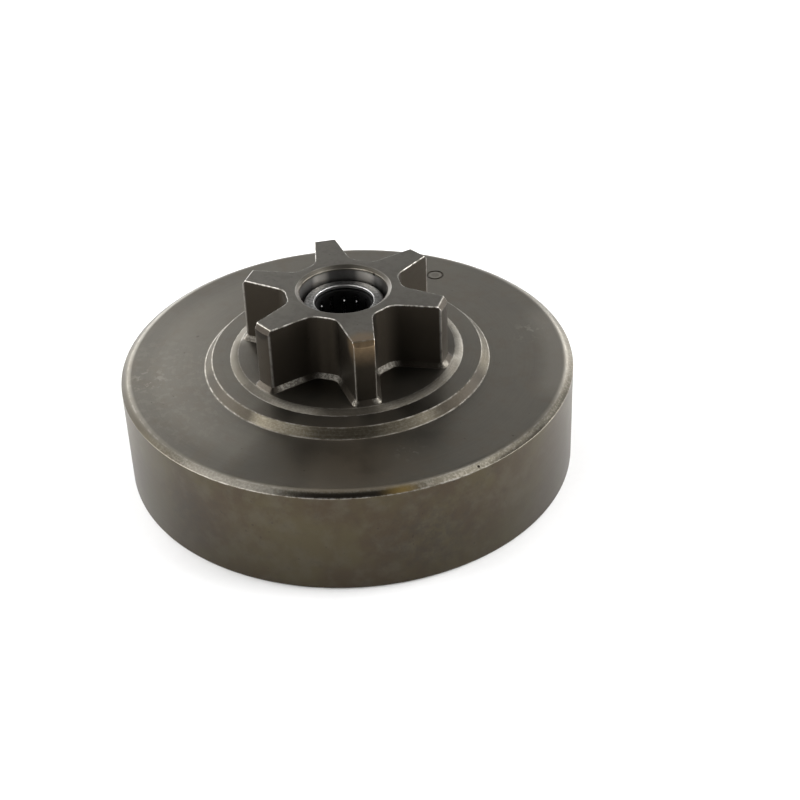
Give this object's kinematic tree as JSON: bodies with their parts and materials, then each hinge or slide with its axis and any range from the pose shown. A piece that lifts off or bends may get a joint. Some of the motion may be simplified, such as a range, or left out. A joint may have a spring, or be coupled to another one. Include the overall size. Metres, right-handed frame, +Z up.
{
  "type": "chainsaw clutch drum sprocket",
  "caption": "Cup-shaped clutch drum with a spur sprocket on its hub and a needle bearing in its bore; it runs free on a shaft and drives the saw chain when the clutch grips it.",
  "frame": {"origin": "centre of the drum's open rim, which lies on the floor plane", "axes": "+Z up the shared axis, from the open rim to the sprocket; +X through the middle of one tooth"},
  "size_m": [0.068, 0.068, 0.0288],
  "materials": {
    "drum_steel": "satin, turned and oil-darkened",
    "shell_steel": "satin, drawn",
    "cage_plastic": "matt black",
    "roller_steel": "ground and polished"
  },
  "bodies": {
    "drum": {"sprocket_drum": "drum_steel", "bearing_shell": "shell_steel"},
    "cage": {"bearing_cage": "cage_plastic"},
    "roller_01": {"needle_roller_01": "roller_steel"},
    "roller_02": {"needle_roller_02": "roller_steel"},
    "roller_03": {"needle_roller_03": "roller_steel"},
    "roller_04": {"needle_roller_04": "roller_steel"},
    "roller_05": {"needle_roller_05": "roller_steel"},
    "roller_06": {"needle_roller_06": "roller_steel"},
    "roller_07": {"needle_roller_07": "roller_steel"},
    "roller_08": {"needle_roller_08": "roller_steel"},
    "roller_09": {"needle_roller_09": "roller_steel"},
    "roller_10": {"needle_roller_10": "roller_steel"},
    "roller_11": {"needle_roller_11": "roller_steel"},
    "roller_12": {"needle_roller_12": "roller_steel"},
    "roller_13": {"needle_roller_13": "roller_steel"}
  },
  "joints": [
    {"name": "cage_spin", "type": "hinge", "parent": "drum", "child": "cage", "pos_m": [0, 0, 0.0207], "axis": [0, 0, 1], "continuous": true},
    {"name": "roller_01_spin", "type": "hinge", "parent": "cage", "child": "roller_01", "pos_m": [0.00477, 0, 0.0207], "axis": [0, 0, 1], "continuous": true},
    {"name": "roller_02_spin", "type": "hinge", "parent": "cage", "child": "roller_02", "pos_m": [0.00422, 0.00222, 0.0207], "axis": [0, 0, 1], "continuous": true},
    {"name": "roller_03_spin", "type": "hinge", "parent": "cage", "child": "roller_03", "pos_m": [0.00271, 0.00393, 0.0207], "axis": [0, 0, 1], "continuous": true},
    {"name": "roller_04_spin", "type": "hinge", "parent": "cage", "child": "roller_04", "pos_m": [0.00057, 0.00474, 0.0207], "axis": [0, 0, 1], "continuous": true},
    {"name": "roller_05_spin", "type": "hinge", "parent": "cage", "child": "roller_05", "pos_m": [-0.00169, 0.00446, 0.0207], "axis": [0, 0, 1], "continuous": true},
    {"name": "roller_06_spin", "type": "hinge", "parent": "cage", "child": "roller_06", "pos_m": [-0.00357, 0.00316, 0.0207], "axis": [0, 0, 1], "continuous": true},
    {"name": "roller_07_spin", "type": "hinge", "parent": "cage", "child": "roller_07", "pos_m": [-0.00463, 0.00114, 0.0207], "axis": [0, 0, 1], "continuous": true},
    {"name": "roller_08_spin", "type": "hinge", "parent": "cage", "child": "roller_08", "pos_m": [-0.00463, -0.00114, 0.0207], "axis": [0, 0, 1], "continuous": true},
    {"name": "roller_09_spin", "type": "hinge", "parent": "cage", "child": "roller_09", "pos_m": [-0.00357, -0.00316, 0.0207], "axis": [0, 0, 1], "continuous": true},
    {"name": "roller_10_spin", "type": "hinge", "parent": "cage", "child": "roller_10", "pos_m": [-0.00169, -0.00446, 0.0207], "axis": [0, 0, 1], "continuous": true},
    {"name": "roller_11_spin", "type": "hinge", "parent": "cage", "child": "roller_11", "pos_m": [0.00057, -0.00474, 0.0207], "axis": [0, 0, 1], "continuous": true},
    {"name": "roller_12_spin", "type": "hinge", "parent": "cage", "child": "roller_12", "pos_m": [0.00271, -0.00393, 0.0207], "axis": [0, 0, 1], "continuous": true},
    {"name": "roller_13_spin", "type": "hinge", "parent": "cage", "child": "roller_13", "pos_m": [0.00422, -0.00222, 0.0207], "axis": [0, 0, 1], "continuous": true}
  ],
  "couplings": [
    {"joint": "roller_01_spin", "follows": "cage_spin", "ratio": -7.3867},
    {"joint": "roller_02_spin", "follows": "cage_spin", "ratio": -7.3867},
    {"joint": "roller_03_spin", "follows": "cage_spin", "ratio": -7.3867},
    {"joint": "roller_04_spin", "follows": "cage_spin", "ratio": -7.3867},
    {"joint": "roller_05_spin", "follows": "cage_spin", "ratio": -7.3867},
    {"joint": "roller_06_spin", "follows": "cage_spin", "ratio": -7.3867},
    {"joint": "roller_07_spin", "follows": "cage_spin", "ratio": -7.3867},
    {"joint": "roller_08_spin", "follows": "cage_spin", "ratio": -7.3867},
    {"joint": "roller_09_spin", "follows": "cage_spin", "ratio": -7.3867},
    {"joint": "roller_10_spin", "follows": "cage_spin", "ratio": -7.3867},
    {"joint": "roller_11_spin", "follows": "cage_spin", "ratio": -7.3867},
    {"joint": "roller_12_spin", "follows": "cage_spin", "ratio": -7.3867},
    {"joint": "roller_13_spin", "follows": "cage_spin", "ratio": -7.3867}
  ]
}
